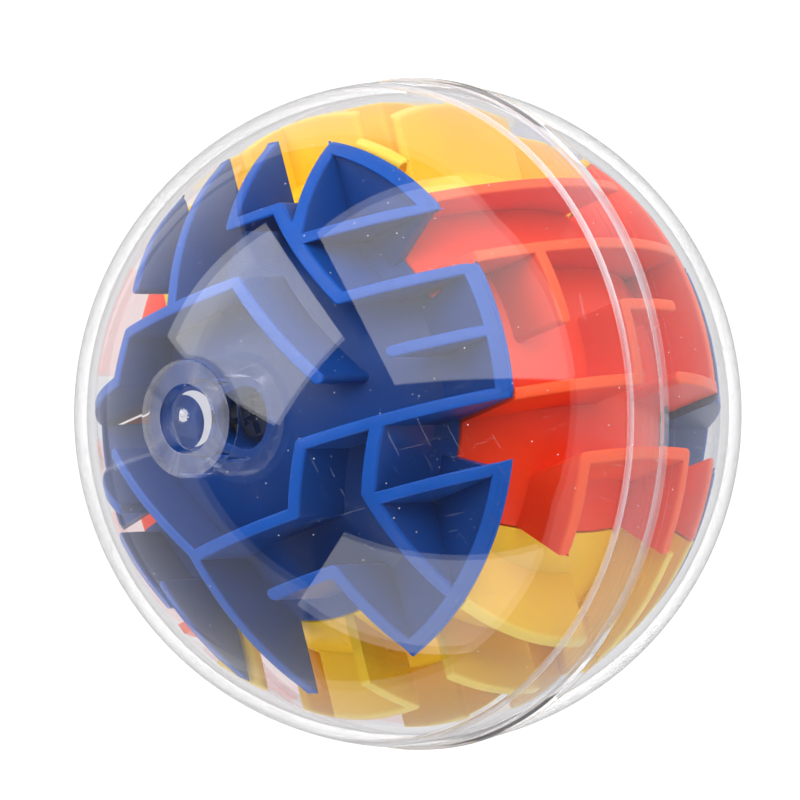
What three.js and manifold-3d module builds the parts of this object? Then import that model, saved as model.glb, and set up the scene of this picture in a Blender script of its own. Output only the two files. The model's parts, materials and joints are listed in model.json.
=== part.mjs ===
// A maze ball: a clear two-piece shell round a maze core of six coloured
// mouldings, with one loose steel ball that rolls between them.
// Millimetres, +Z up. The origin is the centre of the ball, and Z is the axis
// through both poles. The orange segments face +X and -X, the yellow +Y and -Y.

import * as THREE from 'three';
import { mergeVertices } from 'three/addons/utils/BufferGeometryUtils.js';
import Module from 'manifold-3d';

const wasm = await Module();
wasm.setup();

// Driving dimensions.
const SHELL_R = 40;             // outer radius of the clear shell
const SHELL_WALL = 1.5;
const TOP_R = 37.5;             // sphere that the tops of the maze walls reach
const FLOOR_R = 30.5;           // sphere of the maze floor
const FLOOR_WALL = 1.8;
const MAZE_WALL = 1.4;          // thickness of a maze wall
const SPLIT_Z = 18.5;           // plane where a cap meets the segments
const GAP = 0.3;                // play between separate pieces

// Polar post of the shell, its bore and the sunk gate on its outer end.
const POST_R = 6.9;
const BORE_R = 4.6;
const GATE_R = 4.1;
const GATE_FLOOR_R = 3.7;
const GATE_DEPTH = 1.3;
const SEAT_Z = 29.5;            // flat on the cap that the post stands on

// Rim of the shell: a tongue on the back half slides into the front half.
const TONGUE_LENGTH = 4.5;
const TONGUE_WALL = 0.55;
const BEAD_WIDTH = 1.55;
const BEAD_HEIGHT = 0.3;

// Lip by which the caps hold the segments.
const LIP_R = 19.4;
const LIP_WALL = 1.4;
const LIP_TOP_Z = 20.8;

// Column and screws inside the core.
const WELL_R = 3.6;
const WELL_FLOOR_Z = 25.6;
const BOSS_R = 6;
const BOSS_END_Z = 22.8;
const COLUMN_R = 5;
const SHANK_R = 1.5;
const HEAD_R = 3;
const HEAD_HEIGHT = 2;
const SCREW_TIP_Z = 13.5;
const HEAD_RIM_HEIGHT = 0.9;    // height of the head's upright rim
const HEAD_CROWN_R = 2.25;      // where the rounded top of the head flattens
const HEAD_CROWN_DROP = 0.2;
const SCREW_POINT = 2;          // length of the tapered end
const SLOT_WIDTH = 0.9;
const SLOT_LENGTH = 3.9;
const SLOT_DEPTH = 1.1;

const BALL_R = 2.75;

// Fineness of the round shapes.
const TURNS = 32;
const ARC_STEPS = 9;
const END_STEPS = 2;
const SECTOR_STEPS = 8;
const RIM_STEPS = 2;
const THIN_TURNS = 24;          // for the column and the screws
const ROLLING_BALL_TURNS = 20;
const ROLLING_BALL_RINGS = 12;
const WELD = 1e-4;              // corners closer than this are one corner

const SHELL_IN_R = SHELL_R - SHELL_WALL;
const HOLLOW_R = FLOOR_R - FLOOR_WALL;
const HALF_WALL = MAZE_WALL / 2;
const SEGMENT_END_Z = SPLIT_Z - GAP / 2;
const REACH = 60;               // beyond every solid, for the cutting shapes

// Maze walls as centre lines [x, y, x, y] seen along the way each moulding
// leaves its mould. On a cap that is the polar axis.
const RING_Y = 14.1;
const CAP_WALLS = [
  // Six-sided ring round the polar post, open on two sides.
  [-11.2, RING_Y, 7.7, RING_Y],
  [7.7, RING_Y, 16.2, -0.4],
  [12.1, -7.1, 7.7, -RING_Y],
  [7.7, -RING_Y, -8.7, -RING_Y],
  [-8.7, -RING_Y, -17.6, 1.2],
  [-14.2, 9.1, -11.2, RING_Y],
  // Walls on the +X side.
  [12.1, -7.1, 31.4, -7.1],
  [19.8, 8.1, 31.3, 8.1],
  [24, 0.3, 31.8, 0.3],
  [20.6, -7.1, 16.4, -14.6],
  [16.4, -14.6, 16.4, -31],
  [16.4, -15.3, 31, -15.3],
  // Walls on the -Y side.
  [-1, -21.3, 8, -21.3],
  [8, -21.3, 8, -34],
  [-9, -RING_Y, -9, -34],
  [-19, -14.8, -19, -30],
  // Walls on the +Y side.
  [-2.2, RING_Y, -2.2, 34],
  [5.8, 21.8, 5.8, 34],
  [5.8, 21.8, 11.8, 21.8],
  [11.8, 21.8, 19.8, 8.1],
  [14.8, 16.8, 14.8, 34],
  [14.8, 16.8, 31, 16.8],
  [-10.6, 19.5, -10.6, 34],
  // Walls on the -X side.
  [-14.2, 9.1, -34, 9.1],
  [-31.5, 3, -21.2, -4.4],
  [-25.8, -6.8, -21.2, -16.2],
];

// Walls that follow the edge of a cap, from angle to angle in degrees. The
// floor runs out flat below them, and below one wall that stands inside the edge.
const CAP_EDGES = [[-13, 15], [31, 62], [-75, -29], [164, 187]];
const SHORT_LEDGE = [191, 221];
const SHORT_LEDGE_R = 28.3;
const LEDGE = 1.4;

// Walls of a segment as [y, z, y, z] in its own frame, where +X points out
// through its middle. EDGE lies past the end, so those walls run right out.
const EDGE = 28;
const END = 20;
const ORANGE_WALLS = [
  [-15.7, 9.6, -15.7, -8.3],
  [-15.7, 9.6, -EDGE, 9.6],
  [-15.7, -8.3, -EDGE, -8.3],
  [-15.9, -17, -EDGE, -17],
  [-7.5, END, -7.5, 1.4],
  [-7.5, 1.4, 1.5, 1.4],
  [1.5, 1.4, 1.5, -8.2],
  [-7.2, -6.6, -7.2, -END],
  [-7.2, -17, EDGE, -17],
  [9.4, END, 9.4, -17],
  [0.4, 10.9, 9.4, 10.9],
  [18, END, 18, -9.6],
];
const YELLOW_WALLS = [
  [16.4, END, 16.4, -1],
  [11.6, -10, EDGE, -10],
  [7.2, 12.5, 7.2, -1.5],
  [-1, END, -1, 10.9],
  [-1, 10.9, -12.4, 10.9],
  [-9.5, 2.4, -9.5, -END],
  [-9.5, 2.4, -1, 2.4],
  [-17.8, 10, -17.8, -9.2],
  [-17.8, 17.2, -EDGE, 17.2],
  [-1, -7.4, -1, -17],
  [-1, -17, EDGE, -17],
  [7.2, -9.6, 7.2, -17],
  [-9.5, -17, -EDGE, -17],
];

// ---- Solids ----

function windingIsInward(positions, index) {
  const corner = (i) => new THREE.Vector3().fromArray(positions, 3 * index[i]);
  let volume = 0;
  for (let i = 0; i < index.length; i += 3) {
    volume += corner(i).dot(corner(i + 1).cross(corner(i + 2)));
  }
  return volume < 0;
}

// Turns a closed three.js geometry into a solid for the boolean cuts.
function solid(geometry) {
  const bare = geometry.clone();
  bare.deleteAttribute('normal');
  bare.deleteAttribute('uv');
  const merged = mergeVertices(bare, WELD);
  const positions = merged.getAttribute('position').array;
  const index = [];
  const all = merged.getIndex().array;
  for (let i = 0; i < all.length; i += 3) {
    const [a, b, c] = [all[i], all[i + 1], all[i + 2]];
    if (a !== b && b !== c && c !== a) index.push(a, b, c);
  }
  if (windingIsInward(positions, index)) index.reverse();
  return new wasm.Manifold(new wasm.Mesh({
    numProp: 3,
    vertProperties: new Float32Array(positions),
    triVerts: new Uint32Array(index),
  }));
}

function geometryOf(manifold) {
  const mesh = manifold.getMesh();
  const geometry = new THREE.BufferGeometry();
  const positions = new THREE.BufferAttribute(new Float32Array(mesh.vertProperties), 3);
  geometry.setAttribute('position', positions);
  geometry.setIndex(new THREE.BufferAttribute(new Uint32Array(mesh.triVerts), 1));
  geometry.computeVertexNormals();
  return geometry;
}

const union = (solids) => solids.reduce((sum, next) => sum.add(next));

// Height of a sphere above the equator at a distance from its axis.
const heightOn = (radius, distance) => Math.sqrt(radius ** 2 - distance ** 2);

// Points [distance from the axis, z] on a sphere, between two heights.
function arc(radius, fromZ, toZ, steps = ARC_STEPS) {
  const from = Math.asin(fromZ / radius);
  const to = Math.asin(toZ / radius);
  return Array.from({ length: steps + 1 }, (_, i) => {
    const angle = from + (to - from) * i / steps;
    return [radius * Math.cos(angle), radius * Math.sin(angle)];
  });
}

// Turns an outline of [distance, z] points about Z. It closes on itself or
// starts and ends on the axis.
function turned(outline, turns = TURNS) {
  const points = outline.map(([distance, z]) => new THREE.Vector2(distance, z));
  const onAxis = outline[0][0] === 0 && outline.at(-1)[0] === 0;
  if (!onAxis) points.push(points[0].clone());
  return solid(new THREE.LatheGeometry(points, turns).rotateX(Math.PI / 2));
}

function ball(radius, turns = TURNS, rings = TURNS / 2) {
  return solid(new THREE.SphereGeometry(radius, turns, rings).rotateX(Math.PI / 2));
}

function extruded(shape, fromZ, toZ) {
  const options = { depth: toZ - fromZ, bevelEnabled: false, curveSegments: END_STEPS };
  return solid(new THREE.ExtrudeGeometry(shape, options).translate(0, 0, fromZ));
}

// One straight maze wall with round ends, standing along +Z.
function wall([x1, y1, x2, y2], fromZ) {
  const along = Math.atan2(y2 - y1, x2 - x1);
  const shape = new THREE.Shape();
  shape.absarc(x2, y2, HALF_WALL, along - Math.PI / 2, along + Math.PI / 2);
  shape.absarc(x1, y1, HALF_WALL, along + Math.PI / 2, along + 1.5 * Math.PI);
  return extruded(shape, fromZ, SHELL_R);
}

// A sector of a ring with its centre on the axis.
function sector(innerR, outerR, fromDegrees, toDegrees, fromZ, toZ) {
  const from = THREE.MathUtils.degToRad(fromDegrees);
  const to = THREE.MathUtils.degToRad(toDegrees);
  const shape = new THREE.Shape();
  shape.absarc(0, 0, outerR, from, to);
  shape.absarc(0, 0, innerR, to, from, true);
  const options = { depth: toZ - fromZ, bevelEnabled: false, curveSegments: SECTOR_STEPS };
  return solid(new THREE.ExtrudeGeometry(shape, options).translate(0, 0, fromZ));
}

// ---- Clear shell ----

// A half shell with its pole on +Z. The rim outline runs from the inside of the
// wall to the outside.
function shellHalf(rim, innerRimZ, outerRimZ) {
  const flatZ = heightOn(SHELL_R, POST_R);
  const gateZ = flatZ - GATE_DEPTH;
  return turned([
    [0, gateZ],
    [GATE_FLOOR_R, gateZ],
    [GATE_R, flatZ],
    ...arc(SHELL_R, flatZ, outerRimZ),
    ...rim.toReversed(),
    ...arc(SHELL_IN_R, innerRimZ, heightOn(SHELL_IN_R, POST_R)),
    [POST_R, SEAT_Z + GAP],
    [BORE_R, SEAT_Z + GAP],
    [BORE_R, gateZ - SHELL_WALL],
    [0, gateZ - SHELL_WALL],
  ]);
}

const JOINT_Z = GAP / 2;
const SOCKET_R = SHELL_IN_R + TONGUE_WALL + GAP;
const SOCKET_Z = TONGUE_LENGTH + GAP;

function shellFront() {
  const rim = arc(SOCKET_R, SOCKET_Z, JOINT_Z, RIM_STEPS);
  return shellHalf(rim, SOCKET_Z, JOINT_Z);
}

function shellBack() {
  const tongueR = SHELL_IN_R + TONGUE_WALL;
  const beadR = SHELL_R + BEAD_HEIGHT;
  const beadZ = JOINT_Z + BEAD_WIDTH;
  const rim = [
    ...arc(tongueR, -TONGUE_LENGTH, JOINT_Z, RIM_STEPS),
    [beadR, JOINT_Z],
    [beadR, beadZ - BEAD_HEIGHT],
  ];
  return shellHalf(rim, -TONGUE_LENGTH, beadZ);
}

// ---- Maze core ----

// Cuts standing walls to the top sphere and clears them out of the hollow.
function trimmed(walls) {
  return union(walls).intersect(ball(TOP_R)).subtract(ball(FLOOR_R - FLOOR_WALL / 2));
}

function cap() {
  const floor = turned([
    ...arc(FLOOR_R, SPLIT_Z, SEAT_Z),
    [WELL_R, SEAT_Z],
    [WELL_R, WELL_FLOOR_Z],
    [SHANK_R + GAP, WELL_FLOOR_Z],
    [SHANK_R + GAP, BOSS_END_Z],
    [BOSS_R, BOSS_END_Z],
    ...arc(HOLLOW_R, heightOn(HOLLOW_R, BOSS_R), SPLIT_Z),
  ]);
  const edgeR = heightOn(TOP_R, SPLIT_Z);
  const floorEdgeR = heightOn(HOLLOW_R, SPLIT_Z);
  const edges = CAP_EDGES.flatMap(([from, to]) => [
    sector(edgeR - MAZE_WALL, edgeR + 1, from, to, SPLIT_Z, SHELL_R),
    sector(floorEdgeR + 1, edgeR + 1, from, to, SPLIT_Z, SPLIT_Z + LEDGE),
  ]);
  edges.push(sector(floorEdgeR + 1, SHORT_LEDGE_R, ...SHORT_LEDGE, SPLIT_Z, SPLIT_Z + LEDGE));
  const walls = CAP_WALLS.map((line) => wall(line, SPLIT_Z));
  return floor.add(trimmed([...walls, ...edges]));
}

// The quarter that one segment fills, up to the given height each way.
function quarter(height) {
  const side = GAP / Math.SQRT2;
  const shape = new THREE.Shape();
  shape.moveTo(side, 0);
  shape.lineTo(REACH, side - REACH);
  shape.lineTo(REACH, REACH - side);
  return extruded(shape, -height, height);
}

// Stands walls drawn in (y, z) along +X.
function alongX(manifold) {
  return manifold.rotate([90, 0, 90]);
}

function segment(lines) {
  const lipInR = LIP_R - LIP_WALL;
  const flangeZ = SEGMENT_END_Z - FLOOR_WALL;
  const floor = turned([
    ...arc(FLOOR_R, -SEGMENT_END_Z, SEGMENT_END_Z),
    [LIP_R, SEGMENT_END_Z],
    [LIP_R, LIP_TOP_Z],
    [lipInR, LIP_TOP_Z],
    [lipInR, flangeZ],
    ...arc(HOLLOW_R, flangeZ, -flangeZ),
    [lipInR, -flangeZ],
    [lipInR, -LIP_TOP_Z],
    [LIP_R, -LIP_TOP_Z],
    [LIP_R, -SEGMENT_END_Z],
  ]);
  const standing = alongX(union(lines.map((line) => wall(line, 0))));
  const walls = trimmed([standing]).intersect(quarter(SEGMENT_END_Z));
  return floor.intersect(quarter(REACH)).add(walls);
}

function column() {
  const end = BOSS_END_Z - GAP;
  return turned([
    [SHANK_R + GAP, -end],
    [COLUMN_R, -end],
    [COLUMN_R, end],
    [SHANK_R + GAP, end],
  ], THIN_TURNS);
}

function screw() {
  const headZ = WELL_FLOOR_Z + GAP;
  const topZ = headZ + HEAD_HEIGHT;
  const body = turned([
    [0, SCREW_TIP_Z],
    [SHANK_R, SCREW_TIP_Z + SCREW_POINT],
    [SHANK_R, headZ],
    [HEAD_R, headZ],
    [HEAD_R, headZ + HEAD_RIM_HEIGHT],
    [HEAD_CROWN_R, topZ - HEAD_CROWN_DROP],
    [0, topZ],
  ], THIN_TURNS);
  const slot = solid(new THREE.BoxGeometry(SLOT_LENGTH, SLOT_WIDTH, 2 * SLOT_DEPTH));
  const cross = slot.add(slot.rotate([0, 0, 90])).translate([0, 0, topZ]);
  return body.subtract(cross);
}

// ---- Assembly ----

const COLOURS = {
  clear: { color: 0xeef2f4, roughness: 0.05, metalness: 0, transparent: true, opacity: 0.3 },
  blue: { color: 0x1446a8, roughness: 0.38, metalness: 0 },
  orange: { color: 0xf2371b, roughness: 0.38, metalness: 0 },
  yellow: { color: 0xf6be2c, roughness: 0.38, metalness: 0 },
  white: { color: 0xe8e8e4, roughness: 0.5, metalness: 0 },
  steel: { color: 0xc4c6c8, roughness: 0.15, metalness: 1 },
};

const mazeBall = new THREE.Group();

function place(name, manifold, colour, turn = [0, 0, 0]) {
  const material = new THREE.MeshStandardMaterial(COLOURS[colour]);
  const mesh = new THREE.Mesh(geometryOf(manifold), material);
  mesh.name = name;
  mesh.rotation.set(...turn);
  mazeBall.add(mesh);
  return mesh;
}

const OVER = [Math.PI, 0, 0];
const quarterTurns = (count) => [0, 0, count * Math.PI / 2];

place('shell_front', shellFront(), 'clear');
place('shell_back', shellBack(), 'clear', OVER);

place('cap_front', cap(), 'blue');
place('cap_back', cap(), 'blue', OVER);
place('segment_orange_right', segment(ORANGE_WALLS), 'orange', quarterTurns(0));
place('segment_yellow_top', segment(YELLOW_WALLS), 'yellow', quarterTurns(1));
place('segment_orange_left', segment(ORANGE_WALLS), 'orange', quarterTurns(2));
place('segment_yellow_bottom', segment(YELLOW_WALLS), 'yellow', quarterTurns(3));

place('core_column', column(), 'white');
place('screw_front', screw(), 'steel');
place('screw_back', screw(), 'steel', OVER);

// The steel ball has run to the lowest place: against the back post and on the
// inside of the shell.
const channelR = POST_R + GAP + BALL_R;
const ballZ = -heightOn(SHELL_IN_R - GAP - BALL_R, channelR);
const steelBall = place('steel_ball', ball(BALL_R, ROLLING_BALL_TURNS, ROLLING_BALL_RINGS), 'steel');
steelBall.position.set(channelR, 0, ballZ);

export default mazeBall;
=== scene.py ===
# %% [markdown]
# # A maze ball, piece by piece
# The toy is a clear hollow ball with a coloured maze core fixed inside it. A steel
# ball rolls in the gap between the core and the clear shell. The plain model of
# every piece is loaded first: it fixes where each piece sits and which of them
# moves. Each cell after that swaps one plain piece for a finely made one.

# %% Load the plain model
import json
import math
import bmesh
import bpy
import numpy as np
from mathutils import Matrix, Vector
from mathutils.geometry import delaunay_2d_cdt

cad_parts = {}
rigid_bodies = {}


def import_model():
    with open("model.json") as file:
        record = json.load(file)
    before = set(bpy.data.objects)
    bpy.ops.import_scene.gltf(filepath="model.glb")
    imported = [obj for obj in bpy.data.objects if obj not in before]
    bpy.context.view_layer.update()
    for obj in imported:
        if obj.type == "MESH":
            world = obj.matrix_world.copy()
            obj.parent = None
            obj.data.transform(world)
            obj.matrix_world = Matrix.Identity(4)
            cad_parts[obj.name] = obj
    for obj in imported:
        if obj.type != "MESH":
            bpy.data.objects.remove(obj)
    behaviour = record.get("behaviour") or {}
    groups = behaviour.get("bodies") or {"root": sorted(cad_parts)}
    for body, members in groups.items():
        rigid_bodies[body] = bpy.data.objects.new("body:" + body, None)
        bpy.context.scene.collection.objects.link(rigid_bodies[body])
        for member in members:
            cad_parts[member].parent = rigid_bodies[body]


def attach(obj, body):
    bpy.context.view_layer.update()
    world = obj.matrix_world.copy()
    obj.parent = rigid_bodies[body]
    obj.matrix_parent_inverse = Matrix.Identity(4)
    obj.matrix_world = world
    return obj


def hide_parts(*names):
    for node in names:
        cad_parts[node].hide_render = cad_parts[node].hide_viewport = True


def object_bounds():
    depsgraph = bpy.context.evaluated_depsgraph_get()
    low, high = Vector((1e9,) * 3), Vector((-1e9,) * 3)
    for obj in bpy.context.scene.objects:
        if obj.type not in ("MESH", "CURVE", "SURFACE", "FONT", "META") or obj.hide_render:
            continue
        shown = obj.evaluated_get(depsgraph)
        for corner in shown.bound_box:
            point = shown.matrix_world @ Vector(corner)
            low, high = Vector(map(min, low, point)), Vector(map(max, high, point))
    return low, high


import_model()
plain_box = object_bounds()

MM = 0.001
print("plain box:", [[round(n, 4) for n in corner] for corner in plain_box])

# %% [markdown]
# The sizes below are those of the plain model, in millimetres. Everything round is
# centred on the middle of the ball, and Z runs through both poles of the shell.

# %% The sizes that the pieces share
SHELL_R = 40.0
SHELL_IN_R = 38.5
TOP_R = 37.5
FLOOR_R = 30.5
FLOOR_WALL = 1.8
HOLLOW_R = 28.7
SINK_R = 29.6          # the walls' feet end inside the floor's thickness
SPLIT_Z = 18.5
WALL = 1.4
PLAY = 0.3
POST_R = 6.9
BORE_R = 4.6
GATE_R = 4.1
GATE_FLOOR_R = 3.7
GATE_DEPTH = 1.3
SEAT_Z = 29.5
WELL_R = 3.6
WELL_FLOOR_Z = 25.6
BOSS_R = 6.0
BOSS_END_Z = 22.8
SHANK_R = 1.5
ROLL_R = 2.75
POLE_Z = math.sqrt(SHELL_R ** 2 - POST_R ** 2)
print(f"the flat at the pole is {POLE_Z:.2f} mm from the middle")

# %% [markdown]
# Nearly every piece here is a turned one, so the first helper is a small lathe. It
# takes an outline of (distance from the axis, height) points and turns it about Z.
# A moulded corner is never quite sharp, and a soft corner is what catches the
# light, so the outline's corners are rounded before it is turned.

# %% A lathe with softened corners
def on_sphere(radius, distance):
    return math.sqrt(max(radius ** 2 - distance ** 2, 0.0))


def arc(radius, from_z, to_z, steps):
    """Points on a sphere's outline from one height to another."""
    first = math.asin(from_z / radius)
    last = math.asin(to_z / radius)
    angles = [first + (last - first) * i / steps for i in range(steps + 1)]
    return [(radius * math.cos(a), radius * math.sin(a)) for a in angles]


def softened(outline, size, closed):
    """Rounds each clear corner of an outline and leaves gentle curves alone."""
    made = []
    count = len(outline)
    for i, corner in enumerate(outline):
        if not closed and i in (0, count - 1):
            made.append(corner)
            continue
        here = Vector(corner)
        back = Vector(outline[i - 1]) - here
        ahead = Vector(outline[(i + 1) % count]) - here
        bend = math.pi - back.angle(ahead)
        if bend < math.radians(6):
            made.append(corner)
            continue
        cut = min(size, 0.4 * back.length, 0.4 * ahead.length)
        start = here + back.normalized() * cut
        end = here + ahead.normalized() * cut
        for t in (0.0, 0.25, 0.5, 0.75, 1.0):
            made.append(tuple(start * (1 - t) ** 2 + here * 2 * t * (1 - t) + end * t ** 2))
    return made


def turned(outline, turns=160, soft=0.2, sweep=None):
    """Vertices and faces of an outline turned about Z: all round, or over a sweep in degrees."""
    closed = not (outline[0][0] == 0 and outline[-1][0] == 0)
    profile = softened(outline, soft, closed)
    start, end = sweep or (0.0, 360.0)
    columns = turns if sweep is None else turns + 1
    angles = [math.radians(start + (end - start) * k / turns) for k in range(columns)]
    points, rows, faces = [], [], []
    for distance, z in profile:
        if distance < 1e-6:
            rows.append([len(points)] * columns)
            points.append((0.0, 0.0, z))
            continue
        rows.append(list(range(len(points), len(points) + columns)))
        points += [(distance * math.cos(a), distance * math.sin(a), z) for a in angles]
    pairs = list(zip(rows, rows[1:]))
    if closed:
        pairs.append((rows[-1], rows[0]))
    spans = columns if sweep is None else columns - 1
    for low, high in pairs:
        for k in range(spans):
            n = (k + 1) % columns
            face = [low[k], low[n], high[n], high[k]]
            faces.append(list(dict.fromkeys(face)))
    if sweep is not None:
        faces.append([row[0] for row in rows])
        faces.append([row[-1] for row in reversed(rows)])
    return points, [face for face in faces if len(face) > 2]


def mesh_from(name, *parts):
    """One mesh in metres from parts of (points, faces) in millimetres."""
    points, faces = [], []
    for part_points, part_faces in parts:
        shift = len(points)
        points += [tuple(c * MM for c in p) for p in part_points]
        faces += [[i + shift for i in face] for face in part_faces]
    mesh = bpy.data.meshes.new(name)
    mesh.from_pydata(points, [], faces)
    return mesh


def finished(mesh, sharp_degrees=38):
    """Turns faces outwards, then shades the mesh smooth but for its clear corners."""
    work = bmesh.new()
    work.from_mesh(mesh)
    bmesh.ops.remove_doubles(work, verts=work.verts, dist=1e-6)
    bmesh.ops.recalc_face_normals(work, faces=work.faces)
    for face in work.faces:
        face.smooth = True
    for edge in work.edges:
        joined = len(edge.link_faces) == 2
        edge.smooth = joined and edge.calc_face_angle(0.0) < math.radians(sharp_degrees)
    work.to_mesh(mesh)
    work.free()
    mesh.update()
    return mesh


def piece(name, mesh, material, body, node):
    """A finished piece that stands for one plain node and moves with its body."""
    obj = bpy.data.objects.new(name, mesh)
    bpy.context.scene.collection.objects.link(obj)
    if material.name not in [m.name for m in mesh.materials if m]:
        mesh.materials.append(material)
    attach(obj, body)
    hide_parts(node)
    print(f"{name}: {len(mesh.polygons)} faces")
    return obj


print("lathe ready")

# %% [markdown]
# Materials and Geometry Nodes are both graphs of nodes. A tiny class that wraps one
# output lets the sums be written as ordinary Python, and one method makes any other
# kind of node. It sets the node's own settings first and its sockets afterwards.

# %% Node maths as plain arithmetic
class Wire:
    """One output of a node."""

    def __init__(self, graph, socket):
        self.graph = graph
        self.socket = socket

    def sum(self, operation, *values):
        sockets = dict(enumerate(values))
        return self.graph.wire("ShaderNodeMath", {"operation": operation}, sockets)

    def __add__(self, other):
        return self.sum("ADD", self, other)

    __radd__ = __add__

    def __sub__(self, other):
        return self.sum("SUBTRACT", self, other)

    def __rsub__(self, other):
        return self.sum("SUBTRACT", other, self)

    def __mul__(self, other):
        return self.sum("MULTIPLY", self, other)

    __rmul__ = __mul__

    def __truediv__(self, other):
        return self.sum("DIVIDE", self, other)

    def __lt__(self, other):
        return self.sum("LESS_THAN", self, other)

    def __gt__(self, other):
        return self.sum("GREATER_THAN", self, other)

    def root(self):
        return self.sum("SQRT", self)

    def at_least(self, other):
        return self.sum("MAXIMUM", self, other)

    def size(self):
        return self.sum("ABSOLUTE", self)


class Graph:
    """Makes the nodes of one tree."""

    def __init__(self, tree):
        self.tree = tree

    def join(self, socket, value):
        if isinstance(value, Wire):
            self.tree.links.new(value.socket, socket)
        else:
            socket.default_value = value

    def node(self, kind, settings=None, sockets=None):
        made = self.tree.nodes.new(kind)
        for name, value in (settings or {}).items():
            if name == "stops":
                for stop, (place, colour) in zip(made.color_ramp.elements, value):
                    stop.position = place
                    stop.color = colour
            else:
                setattr(made, name, value)
        for name, value in (sockets or {}).items():
            self.join(made.inputs[name], value)
        return made

    def wire(self, kind, settings=None, sockets=None, output=None):
        made = self.node(kind, settings, sockets)
        if output is not None:
            return Wire(self, made.outputs[output])
        return Wire(self, next(o for o in made.outputs if o.enabled))


print("node classes ready")

# %% [markdown]
# The maze core is moulded in satin, slightly translucent plastic. One flat colour
# would look like paint, so the colour drifts a little over the piece, the gloss is
# uneven as the mould's polish is, and a very fine bump breaks up the highlights. The
# tops of the walls are painted paler, a painted highlight for the light that falls on
# them: a point's distance from the middle of the toy tells the tops from the rest.
# A touch of subsurface light gives the soft, warm edges that thin walls show.

# %% Moulded plastic
def moulded_plastic(name, colour, deep_colour, lit_top_colour, gloss, glow, glow_radius):
    material = bpy.data.materials.new(name)
    material.use_nodes = True
    graph = Graph(material.node_tree)
    shader = material.node_tree.nodes["Principled BSDF"]
    place = graph.wire("ShaderNodeTexCoord", output="Object")
    drift = graph.wire("ShaderNodeTexNoise", None, {"Vector": place, "Scale": 55.0, "Detail": 3.0}, "Fac")
    cloud = graph.wire("ShaderNodeTexNoise", None, {"Vector": place, "Scale": 260.0, "Detail": 4.0}, "Fac")
    grain = graph.wire("ShaderNodeTexNoise", None, {"Vector": place, "Scale": 2600.0, "Detail": 2.0}, "Fac")
    mixed = graph.wire(
        "ShaderNodeMix",
        {"data_type": "RGBA"},
        {0: drift * 0.7 + cloud * 0.3, 6: deep_colour, 7: colour},
        2,
    )
    reach = graph.wire("ShaderNodeVectorMath", {"operation": "LENGTH"}, {0: place}, "Value")
    # Painted highlight: the wall tops, nearest the outer sphere, get a paler colour for the light that
    # falls on them.
    crown = graph.wire(
        "ShaderNodeMapRange", None,
        {"Value": reach, "From Min": 0.03705, "From Max": 0.03735},
    )
    lit_tops = graph.wire(
        "ShaderNodeMix",
        {"data_type": "RGBA"},
        {0: crown * (0.55 + 0.45 * cloud), 6: mixed, 7: lit_top_colour},
        2,
    )
    graph.join(shader.inputs["Base Color"], lit_tops)
    graph.join(shader.inputs["Roughness"], gloss + 0.12 * (cloud - 0.5) + 0.08 * (grain - 0.5))
    height = grain * 0.6 + cloud * 0.4
    bump = graph.wire(
        "ShaderNodeBump",
        None,
        {"Strength": 0.12, "Distance": 0.00012, "Height": height},
    )
    graph.join(shader.inputs["Normal"], bump)
    shader.inputs["IOR"].default_value = 1.5
    shader.inputs["Specular IOR Level"].default_value = 0.3
    shader.inputs["Subsurface Weight"].default_value = glow
    shader.inputs["Subsurface Radius"].default_value = glow_radius
    shader.inputs["Subsurface Scale"].default_value = 0.0012
    return material


# The third colour of each plastic is the painted highlight on the wall tops.
blue_plastic = moulded_plastic(
    "blue_plastic", (0.002, 0.050, 0.26, 1), (0.0015, 0.038, 0.20, 1), (0.004, 0.100, 0.50, 1),
    0.36, 0.06, (0.2, 0.4, 1.0))
orange_plastic = moulded_plastic(
    "orange_plastic", (0.95, 0.048, 0.003, 1), (0.88, 0.036, 0.002, 1), (1.0, 0.115, 0.020, 1),
    0.36, 0.12, (1.0, 0.35, 0.1))
yellow_plastic = moulded_plastic(
    "yellow_plastic", (0.95, 0.60, 0.022, 1), (0.92, 0.54, 0.016, 1), (0.96, 0.70, 0.10, 1),
    0.36, 0.12, (1.0, 0.7, 0.2))
white_plastic = moulded_plastic(
    "white_plastic", (0.80, 0.80, 0.77, 1), (0.74, 0.74, 0.70, 1), (0.80, 0.80, 0.77, 1),
    0.45, 0.10, (1.0, 0.9, 0.8))
print("plastics:", [m.name for m in (blue_plastic, orange_plastic, yellow_plastic, white_plastic)])

# %% [markdown]
# The shell is clear polystyrene, thin enough that it hardly bends what is behind
# it. So its body bends light very little, and a clear coat over it mirrors the room
# as strongly as the real plastic does. Lamps would still hardly reach the core
# through it, so rays from lamps see a plain transparent wall instead. A handled toy
# also carries dust and hairline scratches: a little matt white shows through a mask
# of small specks and short fine streaks. At the rims, where the wall ends, more of
# the matt white is mixed in: a painted highlight for the bright streaks that light
# makes along the seam's edges. The flat ring round the gate gets more matt white
# too, more on some sides than on others: a painted reflection of that ring's grey
# sheen. The floor of the gate has a painted highlight, a bright crescent, and a
# white scar where it was cut off.

# %% Clear plastic with dust and scratches
STREAK_CUTOFF = 0.755
SPECK_SIZE, SPECK_WHITE = 0.038, 0.7
LINT_SIZE, LINT_WHITE = 0.05, 0.4
HAIRLINE_WHITE = 0.06
CLEAR_TINT = (0.970, 0.966, 0.978, 1)
MATT_WHITE = (0.86, 0.85, 0.90, 1)
LAMP_TINT = (0.93, 0.94, 0.94, 1)
BODY_IOR = 1.05
COAT_IOR = 1.55
COAT_ROUGHNESS = 0.03
# The painted highlight crescent on the gate floor lies between these two circles.
CRESCENT_R = 0.0033        # the crescent lies inside this circle on the axis
CRESCENT_SHIFT = 0.0016    # and outside the same circle moved this far aside


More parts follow.
